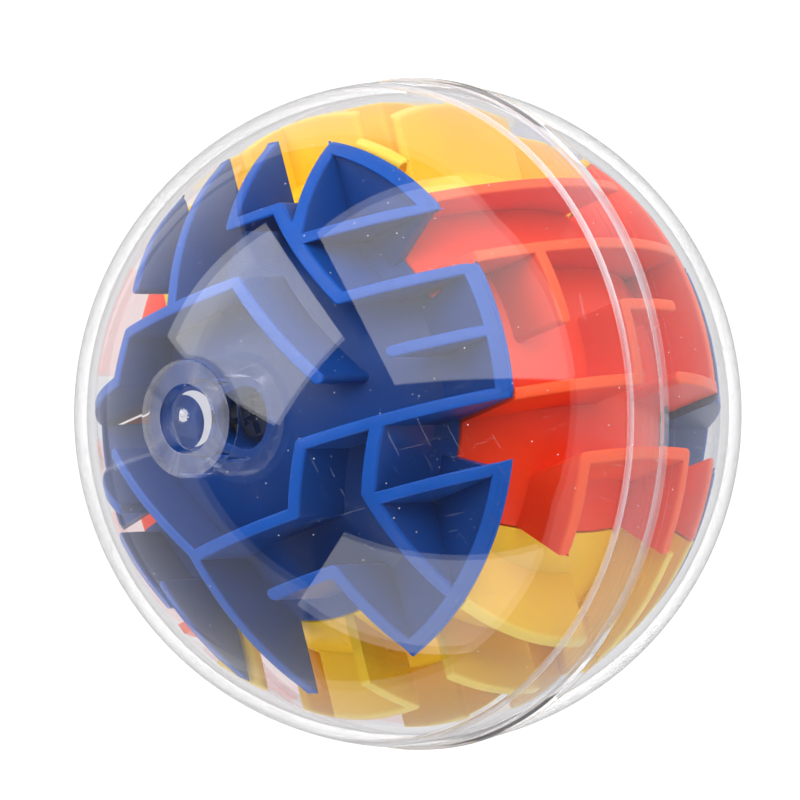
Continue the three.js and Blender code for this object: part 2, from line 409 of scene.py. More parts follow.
def streaks(graph, place, turn, size):
    """A mask of short fine lines, from noise that is stretched one way."""
    laid = graph.wire(
        "ShaderNodeMapping", None,
        {"Vector": place, "Rotation": turn, "Scale": size},
    )
    noise = graph.wire("ShaderNodeTexNoise", None, {"Vector": laid, "Scale": 1.0, "Detail": 1.0}, "Fac")
    return noise > STREAK_CUTOFF


def clear_plastic(name, milk_and_sheen, glint=0.0):
    """The first number is how much matt white is mixed in: the real white of the scar, a painted highlight
    at the rims and a painted reflection on the ring round the gate. The glint is how bright the painted
    highlight crescent on the gate floor is.
    """
    material = bpy.data.materials.new(name)
    material.use_nodes = True
    nodes = material.node_tree.nodes
    graph = Graph(material.node_tree)
    glass = nodes["Principled BSDF"]
    output = nodes["Material Output"]
    place = graph.wire("ShaderNodeTexCoord", output="Object")
    haze = graph.wire("ShaderNodeTexNoise", None, {"Vector": place, "Scale": 45.0, "Detail": 4.0}, "Fac")
    specks = graph.wire("ShaderNodeTexVoronoi", None, {"Vector": place, "Scale": 420.0}, "Distance")
    lint = graph.wire("ShaderNodeTexVoronoi", None, {"Vector": place, "Scale": 1100.0}, "Distance")
    patch = graph.wire("ShaderNodeTexNoise", None, {"Vector": place, "Scale": 70.0, "Detail": 1.0}, "Fac")
    scratch = streaks(graph, place, (0.3, 0.5, 0.2), (60.0, 3200.0, 240.0))
    cross = streaks(graph, place, (1.1, -0.4, 0.9), (3000.0, 50.0, 260.0))
    dust = (specks < SPECK_SIZE) * SPECK_WHITE + (lint < LINT_SIZE) * (patch > 0.55) * LINT_WHITE
    hairline = (scratch + cross) * (patch > 0.50) * HAIRLINE_WHITE
    graph.join(glass.inputs["Roughness"], 0.010 + 0.012 * haze)
    glass.inputs["Base Color"].default_value = CLEAR_TINT
    glass.inputs["Transmission Weight"].default_value = 1.0
    glass.inputs["IOR"].default_value = BODY_IOR
    glass.inputs["Coat Weight"].default_value = 1.0
    glass.inputs["Coat IOR"].default_value = COAT_IOR
    glass.inputs["Coat Roughness"].default_value = COAT_ROUGHNESS
    matt = graph.wire("ShaderNodeBsdfDiffuse", None, {"Color": MATT_WHITE})
    parts = graph.node("ShaderNodeSeparateXYZ", None, {0: place})
    east, north = Wire(graph, parts.outputs["X"]), Wire(graph, parts.outputs["Y"])
    around = north.sum("ARCTAN2", north, east)
    # Painted reflection: the matt white varies round the axis, standing in for the uneven sheen of the ring
    # round the gate; at the rims it is a painted highlight.
    sheen_sectors = graph.wire(
        "ShaderNodeTexNoise", {"noise_dimensions": "1D"}, {"W": around * 1.6, "Scale": 1.0}, "Fac")
    milk_and_painted_sheen = milk_and_sheen * (0.1 + 1.8 * sheen_sectors)
    painted_crescent = 0.0
    # Painted highlight: a bright crescent of matt white on the gate floor, where the plastic reflects
    # light.
    if glint:
        away = (east * east + north * north).root()
        offset = east + CRESCENT_SHIFT
        beside = (offset * offset + north * north).root()
        painted_crescent = (away < CRESCENT_R) * (beside > CRESCENT_R) * glint
    dusted = graph.wire(
        "ShaderNodeMixShader", None,
        {0: dust + hairline + painted_crescent + milk_and_painted_sheen, 1: Wire(graph, glass.outputs[0]), 2: matt},
    )
    lamp_ray = graph.wire("ShaderNodeLightPath", output="Is Shadow Ray")
    open_way = graph.wire("ShaderNodeBsdfTransparent", None, {"Color": LAMP_TINT})
    shown = graph.wire("ShaderNodeMixShader", None, {0: lamp_ray, 1: dusted, 2: open_way})
    material.node_tree.links.new(shown.socket, output.inputs["Surface"])
    return material


clear_shell = clear_plastic("clear_shell", 0.0)
# The rims get matt white as a painted highlight, and the ring round the gate gets it as a painted
# reflection; the scar's white is its own.
rim_highlight = clear_plastic("clear_shell_rim", 0.34)
pole_ring_reflection = clear_plastic("clear_shell_pole", 0.22)
gate_floor = clear_plastic("clear_shell_gate", 0.02, 0.75)
gate_scar = clear_plastic("clear_shell_scar", 0.8)
print("clear plastic:", len(clear_shell.node_tree.nodes), "nodes")

# %% [markdown]
# Both metal pieces are steel. The screws are near black and a little dull, a painted
# shade for the deep well they sit in, and the ball is polished with faint brush marks.

# %% Steel
def steel(name, colour, gloss, marks):
    material = bpy.data.materials.new(name)
    material.use_nodes = True
    graph = Graph(material.node_tree)
    shader = material.node_tree.nodes["Principled BSDF"]
    place = graph.wire("ShaderNodeTexCoord", output="Object")
    smear = graph.wire("ShaderNodeTexNoise", None, {"Vector": place, "Scale": 700.0, "Detail": 4.0}, "Fac")
    fine = graph.wire("ShaderNodeTexNoise", None, {"Vector": place, "Scale": 9000.0, "Detail": 2.0}, "Fac")
    graph.join(shader.inputs["Roughness"], gloss + marks * smear)
    bump = graph.wire("ShaderNodeBump", None, {"Strength": 0.08, "Distance": 0.00003, "Height": fine})
    graph.join(shader.inputs["Normal"], bump)
    shader.inputs["Base Color"].default_value = colour
    shader.inputs["Metallic"].default_value = 1.0
    return material


# Painted shade: the screws are near black, for the dark of the deep well round them.
screw_steel = steel("screw_steel", (0.035, 0.035, 0.04, 1), 0.38, 0.25)
ball_steel = steel("ball_steel", (0.72, 0.72, 0.73, 1), 0.04, 0.12)
print("steels:", screw_steel.name, ball_steel.name)

# %% [markdown]
# Each half of the shell is one turned piece. On the pole there is a flat with a sunk
# gate, where the plastic was fed into the mould and left a small rough scar. Behind
# it a hollow post reaches down to the core and holds it. The two halves meet at a
# lap joint: the back half has a raised bead and a thin tongue that slides inside
# the front half.

# %% The clear half shells
FLAT_STEPS = 76
JOINT_Z = PLAY / 2
TONGUE_R = SHELL_IN_R + 0.55
SOCKET_R = TONGUE_R + PLAY
TONGUE_LENGTH = 4.5
BEAD_R = SHELL_R + 0.3
BEAD_Z = JOINT_Z + 1.55
SCAR_R = 0.85
SCAR_AT = (-1.3, 0.8)
SCAR_HEIGHT = 0.22
GATE_RINGS = 12
GATE_THICKNESS = 1.5
BEAD_LIP = 0.3
INSIDE_R = SHELL_IN_R - 0.5
OUTSIDE_R = BEAD_R + 0.1


def half_shell(rim, inner_rim_z, outer_rim_z):
    """The rim outline runs from the inside of the wall to the outside."""
    gate_z = POLE_Z - GATE_DEPTH
    outline = [(GATE_FLOOR_R * k / GATE_RINGS, gate_z) for k in range(GATE_RINGS + 1)]
    outline.append((GATE_R, POLE_Z))
    outline += arc(SHELL_R, POLE_Z, outer_rim_z, FLAT_STEPS)
    outline += rim[::-1]
    outline += arc(SHELL_IN_R, inner_rim_z, on_sphere(SHELL_IN_R, POST_R), FLAT_STEPS)
    outline += [(POST_R, SEAT_Z + PLAY), (BORE_R, SEAT_Z + PLAY)]
    outline += [(BORE_R, gate_z - GATE_THICKNESS), (0, gate_z - GATE_THICKNESS)]
    points, faces = turned(outline, turns=192, soft=0.12)
    rough = []
    for x, y, z in points:
        from_scar = math.dist((x, y), SCAR_AT)
        if z > gate_z - 0.01 and from_scar < SCAR_R:
            round_it = math.atan2(y - SCAR_AT[1], x - SCAR_AT[0])
            torn = 1 + 0.4 * math.sin(3 * round_it + 1) + 0.3 * math.sin(7 * round_it)
            z += SCAR_HEIGHT * torn * math.cos(math.pi / 2 * from_scar / SCAR_R)
        rough.append((x, y, z))
    return rough, faces


def cloud_shell(mesh, pole, bands):
    """Gives faces their kind of clear plastic.

    The pole is 1 or -1. Rims are the faces whose middles lie in a band, which is
    (least distance, greatest distance, lowest, highest). The rest goes by place.
    """
    plastics = [clear_shell, rim_highlight, pole_ring_reflection, gate_floor, gate_scar]
    for plastic in plastics:
        mesh.materials.append(plastic)
    for face in mesh.polygons:
        distance = math.hypot(face.center.x, face.center.y) / MM
        height = pole * face.center.z / MM
        # Painted highlight: faces in a rim band get the whiter plastic.
        for near, far, low, high in bands:
            if near < distance < far and low < height < high:
                face.material_index = plastics.index(rim_highlight)
        # Painted reflection: the flat ring round the gate gets the whiter plastic.
        if GATE_R < distance < POST_R and height > POLE_Z - 0.05:
            face.material_index = plastics.index(pole_ring_reflection)
        if distance < GATE_FLOOR_R and height > POLE_Z - GATE_DEPTH - 0.1:
            from_scar = math.dist((face.center.x / MM, pole * face.center.y / MM), SCAR_AT)
            face.material_index = plastics.index(gate_scar if from_scar < SCAR_R * 0.9 else gate_floor)
    return mesh


OVER = Matrix.Rotation(math.pi, 4, "X")
socket_rim = arc(SOCKET_R, TONGUE_LENGTH + PLAY, JOINT_Z, 6)
tongue_rim = arc(TONGUE_R, -TONGUE_LENGTH, JOINT_Z, 6) + [(BEAD_R, JOINT_Z), (BEAD_R, BEAD_Z - BEAD_LIP)]
front_mesh = finished(mesh_from("shell_front", half_shell(socket_rim, TONGUE_LENGTH + PLAY, JOINT_Z)))
back_mesh = mesh_from("shell_back", half_shell(tongue_rim, -TONGUE_LENGTH, BEAD_Z))
back_mesh.transform(OVER)
finished(back_mesh)
cloud_shell(front_mesh, 1, [
    (SOCKET_R, BEAD_R, JOINT_Z - 0.05, JOINT_Z + 0.06),
    (INSIDE_R, SOCKET_R, TONGUE_LENGTH + 0.1, TONGUE_LENGTH + 0.5),
])
cloud_shell(back_mesh, -1, [
    (TONGUE_R, OUTSIDE_R, JOINT_Z - 0.05, JOINT_Z + 0.15),
    (SHELL_R, OUTSIDE_R, BEAD_Z - 0.32, BEAD_Z + 0.05),
    (INSIDE_R, TONGUE_R, -TONGUE_LENGTH - 0.1, -TONGUE_LENGTH + 0.1),
])
piece("clear_shell_front", front_mesh, clear_shell, "puzzle", "shell_front")
piece("clear_shell_back", back_mesh, clear_shell, "puzzle", "shell_back")

# %% [markdown]
# The maze walls follow one rule. Each starts as a straight line in a plan, gets a
# width and round ends, stands up along the way the moulding leaves its mould, and
# is cut off by a sphere so that the rolling ball stays in its channel. First come
# the plans themselves: the centre lines of every wall, seen along that direction.

# %% The maze plans
RING_Y = 14.1
CAP_LINES = [
    (-11.2, RING_Y, 7.7, RING_Y), (7.7, RING_Y, 16.2, -0.4), (12.1, -7.1, 7.7, -RING_Y),
    (7.7, -RING_Y, -8.7, -RING_Y), (-8.7, -RING_Y, -17.6, 1.2), (-14.2, 9.1, -11.2, RING_Y),
    (12.1, -7.1, 31.4, -7.1), (19.8, 8.1, 31.3, 8.1), (24, 0.3, 31.8, 0.3),
    (20.6, -7.1, 16.4, -14.6), (16.4, -14.6, 16.4, -31), (16.4, -15.3, 31, -15.3),
    (-1, -21.3, 8, -21.3), (8, -21.3, 8, -34), (-9, -RING_Y, -9, -34), (-19, -14.8, -19, -30),
    (-2.2, RING_Y, -2.2, 34), (5.8, 21.8, 5.8, 34), (5.8, 21.8, 11.8, 21.8),
    (11.8, 21.8, 19.8, 8.1), (14.8, 16.8, 14.8, 34), (14.8, 16.8, 31, 16.8),
    (-10.6, 19.5, -10.6, 34), (-14.2, 9.1, -34, 9.1), (-31.5, 3, -21.2, -4.4),
    (-25.8, -6.8, -21.2, -16.2),
]
CAP_EDGES = [(-13, 15), (31, 62), (-75, -29), (164, 187)]
SHORT_LEDGE = (191, 221)     # a ledge that stands back from the edge, in degrees
SHORT_LEDGE_R = 28.3
FAR = 28
END = 20
ORANGE_LINES = [
    (-15.7, 9.6, -15.7, -8.3), (-15.7, 9.6, -FAR, 9.6), (-15.7, -8.3, -FAR, -8.3),
    (-15.9, -17, -FAR, -17), (-7.5, END, -7.5, 1.4), (-7.5, 1.4, 1.5, 1.4), (1.5, 1.4, 1.5, -8.2),
    (-7.2, -6.6, -7.2, -END), (-7.2, -17, FAR, -17), (9.4, END, 9.4, -17),
    (0.4, 10.9, 9.4, 10.9), (18, END, 18, -9.6),
]
YELLOW_LINES = [
    (16.4, END, 16.4, -1), (11.6, -10, FAR, -10), (7.2, 12.5, 7.2, -1.5), (-1, END, -1, 10.9),
    (-1, 10.9, -12.4, 10.9), (-9.5, 2.4, -9.5, -END), (-9.5, 2.4, -1, 2.4),
    (-17.8, 10, -17.8, -9.2), (-17.8, 17.2, -FAR, 17.2), (-1, -7.4, -1, -17),
    (-1, -17, FAR, -17), (7.2, -9.6, 7.2, -17), (-9.5, -17, -FAR, -17),
]
print("walls:", len(CAP_LINES), "on a cap,", len(ORANGE_LINES), "orange,", len(YELLOW_LINES), "yellow")

# %% [markdown]
# Walls cross and touch, so their outlines have to be merged before they stand up.
# A constrained triangulation does that well: it cuts all the outlines against each
# other and tells which triangles lie in any wall. The outer edges of those
# triangles are the merged outline. It is then drawn in by the size of the rolled
# edge, and every point remembers the way back out.

# %% From centre lines to one merged outline
EDGE_ROUND = 0.26
STEP = 1.0


def disc(x, y, radius, corners=24):
    angles = [2 * math.pi * k / corners for k in range(corners)]
    return [(x + radius * math.cos(a), y + radius * math.sin(a)) for a in angles]


def wall_shapes(lines):
    """A strip for each line and a disc at each of its ends."""
    shapes = []
    for x1, y1, x2, y2 in lines:
        along = Vector((x2 - x1, y2 - y1)).normalized()
        nx, ny = -along.y * WALL / 2, along.x * WALL / 2
        shapes.append([(x1 - nx, y1 - ny), (x2 - nx, y2 - ny), (x2 + nx, y2 + ny), (x1 + nx, y1 + ny)])
        shapes.append(disc(x1, y1, WALL / 2))
        shapes.append(disc(x2, y2, WALL / 2))
    return shapes


def edge_shapes(sectors, outer):
    """A curved strip just inside the edge of a cap, for each sector."""
    shapes = []
    for start, end in sectors:
        turns = max(2, round((end - start) / 2))
        angles = [math.radians(start + (end - start) * k / turns) for k in range(turns + 1)]
        inside = [((outer - WALL) * math.cos(a), (outer - WALL) * math.sin(a)) for a in angles]
        outside = [((outer + 1) * math.cos(a), (outer + 1) * math.sin(a)) for a in angles]
        shapes.append(outside + inside[::-1])
    return shapes


def merged_outline(shapes, limit):
    """Closed loops round everything that lies in a shape and in the limit."""
    corners, rings = [], []
    for shape in [limit] + shapes:
        rings.append(list(range(len(corners), len(corners) + len(shape))))
        corners += [Vector(p) for p in shape]
    points, _, faces, _, _, sources = delaunay_2d_cdt(corners, [], rings, 0, 1e-4)
    walked = set()
    for face, source in zip(faces, sources):
        if 0 in source and len(source) > 1:
            a, b, c = (points[i] for i in face)
            turn = (b - a).cross(c - a)
            order = face if turn > 0 else face[::-1]
            walked |= {(order[i], order[(i + 1) % 3]) for i in range(3)}
    onward = {}
    for a, b in walked:
        if (b, a) not in walked:
            onward.setdefault(a, []).append(b)
    loops = []
    while onward:
        start = min(onward)
        loop, here = [], start
        while here in onward:
            loop.append(points[here].copy())
            ways = onward[here]
            ahead = ways.pop(0)
            if not ways:
                del onward[here]
            here = ahead
        loops.append(loop)
    return loops


def tidied(loop):
    """Drops points that are crowded or lie on a straight run, then splits long runs evenly."""
    kept = []
    for point in loop:
        if not kept or (point - kept[-1]).length > 0.05:
            kept.append(point)
    if (kept[0] - kept[-1]).length < 0.05:
        kept.pop()
    corners = []
    for i, point in enumerate(kept):
        before, after = kept[i - 1], kept[(i + 1) % len(kept)]
        run = (after - before).normalized()
        if abs(run.cross(point - before)) > 0.004:
            corners.append(point)
    evened = []
    for i, point in enumerate(corners):
        after = corners[(i + 1) % len(corners)]
        parts = max(1, math.ceil((after - point).length / STEP))
        evened += [point.lerp(after, k / parts) for k in range(parts)]
    return evened


def drawn_in(loop, size):
    """Each point moved into the wall, with the way back out beside it."""
    made = []
    for i, point in enumerate(loop):
        before = (point - loop[i - 1]).normalized()
        after = (loop[(i + 1) % len(loop)] - point).normalized()
        first = Vector((before.y, -before.x))
        second = Vector((after.y, -after.x))
        out = (first + second) / max(1 + first.dot(second), 0.5)
        made.append((point - out * size, out))
    return made


def plan_mesh(name, shapes, limit):
    """A flat mesh of the wall tops, drawn in by the rolled edge."""
    loops = [tidied(loop) for loop in merged_outline(shapes, limit)]
    rings = [drawn_in(loop, EDGE_ROUND) for loop in loops if len(loop) > 5]
    corners, outs, edges = [], [], []
    for ring in rings:
        start, count = len(corners), len(ring)
        edges += [(start + k, start + (k + 1) % count) for k in range(count)]
        corners += [point for point, _ in ring]
        outs += [out for _, out in ring]
    points, _, faces, sources, _, _ = delaunay_2d_cdt(corners, edges, [], 0, 1e-5)
    starts = np.array([corners[a] for a, _ in edges])
    ends = np.array([corners[b] for _, b in edges])
    kept = []
    for face in faces:
        cx = sum(points[i].x for i in face) / 3
        cy = sum(points[i].y for i in face) / 3
        spans = (starts[:, 1] > cy) != (ends[:, 1] > cy)
        rise = np.where(spans, ends[:, 1] - starts[:, 1], 1.0)
        crossing = starts[:, 0] + (cy - starts[:, 1]) * (ends[:, 0] - starts[:, 0]) / rise
        if np.count_nonzero(spans & (crossing > cx)) % 2:
            turn = (points[face[1]] - points[face[0]]).cross(points[face[2]] - points[face[0]])
            kept.append(face if turn > 0 else face[::-1])
    used = sorted({i for face in kept for i in face})
    renamed = {old: new for new, old in enumerate(used)}
    mesh = mesh_from(name, ([(*points[i], 0.0) for i in used], [[renamed[i] for i in f] for f in kept]))
    way = mesh.attributes.new("outward", "FLOAT_VECTOR", "POINT")
    for new, old in enumerate(used):
        out = outs[sources[old][0]] if sources[old] else Vector((0, 0))
        way.data[new].vector = (out.x, out.y, 0)
    return mesh


cap_edge = on_sphere(TOP_R, SPLIT_Z)
cap_limit = disc(0, 0, cap_edge, 180)
SEGMENT_END = SPLIT_Z - PLAY / 2
SEAM = PLAY / math.sqrt(2)
heights = [SEGMENT_END * (k / 12 - 1) for k in range(25)]
reach = [math.sqrt((TOP_R ** 2 - v ** 2) / 2) - SEAM / 2 for v in heights]
segment_limit = [(u, v) for u, v in zip(reach, heights)]
segment_limit += [(-u, v) for u, v in zip(reach[::-1], heights[::-1])]
cap_plan = plan_mesh("cap_plan", wall_shapes(CAP_LINES) + edge_shapes(CAP_EDGES, cap_edge), cap_limit)
orange_plan = plan_mesh("orange_plan", wall_shapes(ORANGE_LINES), segment_limit)
yellow_plan = plan_mesh("yellow_plan", wall_shapes(YELLOW_LINES), segment_limit)
for plan in (cap_plan, orange_plan, yellow_plan):
    print(plan.name, len(plan.vertices), "points", len(plan.polygons), "triangles")

# %% [markdown]
# Geometry Nodes now stand the plan up. The top of every wall is lifted on to the
# outer sphere, its edge is rolled over in a few small steps, the sides drop to the
# floor, and a copy closes the foot. Because it is a rule and not a drawing, the
# same tree makes all six mouldings: a cap's walls end on a flat plane, and those
# of a segment end on the two slanting planes of its quarter.

# %% A tree that stands the walls up
class Recipe(Graph):
    """A Geometry Nodes tree with named inputs."""

    kinds = {float: "NodeSocketFloat", "material": "NodeSocketMaterial"}

    def __init__(self, name, inputs):
        super().__init__(bpy.data.node_groups.new(name, "GeometryNodeTree"))
        face = self.tree.interface
        face.new_socket("Start", in_out="INPUT", socket_type="NodeSocketGeometry")
        self.ids = {}
        for label, kind in inputs.items():
            socket = face.new_socket(label, in_out="INPUT", socket_type=self.kinds[kind])
            self.ids[label] = socket.identifier
        face.new_socket("Piece", in_out="OUTPUT", socket_type="NodeSocketGeometry")
        self.entry = self.tree.nodes.new("NodeGroupInput")
        self.exit = self.tree.nodes.new("NodeGroupOutput")

    def given(self, label):
        return Wire(self, self.entry.outputs[label])

    def moved(self, mesh, **sockets):
        named = {label.capitalize(): value for label, value in sockets.items()}
        return self.wire("GeometryNodeSetPosition", None, {"Geometry": mesh, **named})

    def close(self, geometry):
        real = self.wire("GeometryNodeRealizeInstances", None, {0: geometry})
        dyed = self.wire(
            "GeometryNodeSetMaterial", None,
            {"Geometry": real, "Material": self.given("Material")},
        )
        self.tree.links.new(dyed.socket, self.exit.inputs["Piece"])
        return self

    def grow(self, name, start, values):
        """Runs the tree on a mesh and gives back the result as a plain mesh."""
        obj = bpy.data.objects.new(name, start)
        bpy.context.scene.collection.objects.link(obj)
        modifier = obj.modifiers.new(self.tree.name, "NODES")
        modifier.node_group = self.tree
        for label, value in values.items():
            modifier[self.ids[label]] = value
        seen = obj.evaluated_get(bpy.context.evaluated_depsgraph_get())
        mesh = bpy.data.meshes.new_from_object(seen)
        obj.modifiers.remove(modifier)
        bpy.data.objects.remove(obj)
        mesh.name = name
        return mesh


def wall_recipe():
    made = Recipe("Stand maze walls up", {
        "Top radius": float, "Floor radius": float, "Foot height": float,
        "Foot slope": float, "Edge round": float, "Material": "material",
    })
    place = made.wire("GeometryNodeInputPosition")
    parts = made.node("ShaderNodeSeparateXYZ", None, {0: place})
    x, y, z = (Wire(made, output) for output in parts.outputs)
    spread = x * x + y * y
    top_r, floor_r = made.given("Top radius"), made.given("Floor radius")
    top = (top_r * top_r - spread).at_least(0.0).root()
    dome = (floor_r * floor_r - spread).at_least(0.0).root()
    foot = dome.at_least(made.given("Foot height") + made.given("Foot slope") * x.size())

    def at(height):
        return made.wire("ShaderNodeCombineXYZ", None, {0: x, 1: y, 2: height})

    out = made.wire(
        "GeometryNodeInputNamedAttribute", {"data_type": "FLOAT_VECTOR"}, {"Name": "outward"})
    plan = made.given("Start")
    faces_at = made.wire("GeometryNodeInputMeshEdgeNeighbors", output="Face Count")
    mesh = made.moved(plan, position=at(top))
    lip = faces_at < 1.5
    steps = 4
    turn = math.pi / 2 / steps
    for k in range(steps):
        grown = made.node(
            "GeometryNodeExtrudeMesh", {"mode": "EDGES"},
            {"Mesh": mesh, "Selection": lip, "Offset Scale": 0.0},
        )
        lip = Wire(made, grown.outputs["Top"])
        wide = math.sin(turn * (k + 1)) - math.sin(turn * k)
        deep = math.cos(turn * k) - math.cos(turn * (k + 1))
        shift = made.wire(
            "ShaderNodeVectorMath", {"operation": "SCALE"},
            {0: out, "Scale": made.given("Edge round") * wide},
        )
        drop = made.wire("ShaderNodeCombineXYZ", None, {2: made.given("Edge round") * -deep})
        both = made.wire("ShaderNodeVectorMath", {"operation": "ADD"}, {0: shift, 1: drop})
        mesh = made.moved(Wire(made, grown.outputs["Mesh"]), selection=lip, offset=both)
    mesh = made.moved(mesh, position=at(z.at_least(foot)))
    sides = made.node(
        "GeometryNodeExtrudeMesh", {"mode": "EDGES"},
        {"Mesh": mesh, "Selection": lip, "Offset Scale": 0.0},
    )
    walls = made.moved(
        Wire(made, sides.outputs["Mesh"]), selection=Wire(made, sides.outputs["Top"]), position=at(foot))
    full = made.wire(
        "ShaderNodeVectorMath", {"operation": "SCALE"}, {0: out, "Scale": made.given("Edge round")})
    base = made.moved(made.moved(plan, offset=full), position=at(foot))
    base = made.wire("GeometryNodeFlipFaces", None, {0: base})
    both = made.node("GeometryNodeJoinGeometry")
    made.tree.links.new(walls.socket, both.inputs[0])
    made.tree.links.new(base.socket, both.inputs[0])
    whole = made.wire(
        "GeometryNodeMergeByDistance", None, {"Geometry": Wire(made, both.outputs[0]), "Distance": 2e-6})
    return made.close(whole)


stand_up = wall_recipe()


def walls_of(name, plan, foot_height, foot_slope, material):
    return stand_up.grow(name, plan, {
        "Top radius": TOP_R * MM, "Floor radius": SINK_R * MM,
        "Foot height": foot_height * MM, "Foot slope": foot_slope,
        "Edge round": EDGE_ROUND * MM, "Material": material,
    })


cap_walls = walls_of("cap_walls", cap_plan, SPLIT_Z, 0.0, blue_plastic)
orange_walls = walls_of("orange_walls", orange_plan, SEAM, 1.0, orange_plastic)
yellow_walls = walls_of("yellow_walls", yellow_plan, SEAM, 1.0, yellow_plastic)
for walls in (cap_walls, orange_walls, yellow_walls):
    print(walls.name, len(walls.polygons), "faces")

# %% [markdown]
# The walls stand on a round floor. On a cap that is a dome with a flat seat for the
# clear post and a well for the screw, and ledges carry the walls along its edge. A
# segment's floor is a quarter of a belt with a lip at each end that tucks under a
# cap. Walls and floor are one moulding, so both end up in one mesh.

# %% Floors, and the finished mouldings
def joined(name, *meshes):
    work = bmesh.new()
    for mesh in meshes:
        work.from_mesh(mesh)
    whole = bpy.data.meshes.new(name)
    work.to_mesh(whole)
    work.free()
    if "outward" in whole.attributes:
        whole.attributes.remove(whole.attributes["outward"])
    return whole


def cap_floor():
    outline = arc(FLOOR_R, SPLIT_Z, SEAT_Z, 30)
    outline += [(WELL_R, SEAT_Z), (WELL_R, WELL_FLOOR_Z), (SHANK_R + PLAY, WELL_FLOOR_Z)]
    outline += [(SHANK_R + PLAY, BOSS_END_Z), (BOSS_R, BOSS_END_Z)]
    outline += arc(HOLLOW_R, on_sphere(HOLLOW_R, BOSS_R), SPLIT_Z, 30)
    parts = [turned(outline)]
    inner = on_sphere(HOLLOW_R, SPLIT_Z) + 1
    ledge_z = SPLIT_Z + WALL
    rim = [(inner, SPLIT_Z), (cap_edge, SPLIT_Z), (on_sphere(TOP_R, ledge_z), ledge_z), (inner, ledge_z)]
    parts += [turned(rim, turns=round(end - start), sweep=(start, end)) for start, end in CAP_EDGES]
    short = [(inner, SPLIT_Z), (SHORT_LEDGE_R, SPLIT_Z), (SHORT_LEDGE_R, ledge_z), (inner, ledge_z)]
    parts.append(turned(short, turns=30, sweep=SHORT_LEDGE))
    return mesh_from("cap_floor", *parts)


LIP_R = 19.4
LIP_IN_R = 18.0
LIP_Z = 20.8


def segment_floor():
    flange_z = SEGMENT_END - FLOOR_WALL
    outline = arc(FLOOR_R, -SEGMENT_END, SEGMENT_END, 48)
    outline += [(LIP_R, SEGMENT_END), (LIP_R, LIP_Z), (LIP_IN_R, LIP_Z), (LIP_IN_R, flange_z)]
    outline += arc(HOLLOW_R, flange_z, -flange_z, 48)
    outline += [(LIP_IN_R, -flange_z), (LIP_IN_R, -LIP_Z), (LIP_R, -LIP_Z), (LIP_R, -SEGMENT_END)]
    half = 45 - math.degrees(PLAY / 2 / FLOOR_R)
    return mesh_from("segment_floor", turned(outline, turns=48, sweep=(-half, half)))


OUTWARD = Matrix(((0, 0, 1, 0), (1, 0, 0, 0), (0, 1, 0, 0), (0, 0, 0, 1)))
for walls in (orange_walls, yellow_walls):
    walls.transform(OUTWARD)

MOULDINGS = {
    "cap_front": (cap_walls, cap_floor, Matrix.Identity(4), blue_plastic, "blue_plastic"),
    "cap_back": (cap_walls, cap_floor, OVER, blue_plastic, "blue_plastic"),
}
for name, quarter in (("right", 0), ("left", 2)):
    turn = Matrix.Rotation(quarter * math.pi / 2, 4, "Z")
    MOULDINGS[f"segment_orange_{name}"] = (
        orange_walls, segment_floor, turn, orange_plastic, "orange_plastic")
for name, quarter in (("top", 1), ("bottom", 3)):
    turn = Matrix.Rotation(quarter * math.pi / 2, 4, "Z")
    MOULDINGS[f"segment_yellow_{name}"] = (
        yellow_walls, segment_floor, turn, yellow_plastic, "yellow_plastic")

for node, (walls, floor, turn, material, slot) in MOULDINGS.items():
    whole = joined(node, floor(), walls)
    whole.transform(turn)
    finished(whole)
    piece("maze_" + node, whole, material, "puzzle", node)

# %% [markdown]
# Inside the core a plain column joins the two caps, and one self-tapping screw goes
# through each cap into it. The thread is a path that repeats, so Geometry Nodes
# wind it: a spiral carries a small triangle along. The same tree cuts the cross
# into the head with two bars.

# %% The column and its screws
COLUMN_R = 5.0
CHAMFER = 0.5


def column_mesh():
    end = BOSS_END_Z - PLAY
    bore = SHANK_R + PLAY
    outline = [(bore, -end), (COLUMN_R - CHAMFER, -end), (COLUMN_R, -end + CHAMFER)]
    outline += [(COLUMN_R, end - CHAMFER), (COLUMN_R - CHAMFER, end), (bore, end)]
    return mesh_from("core_column", turned(outline, turns=96))


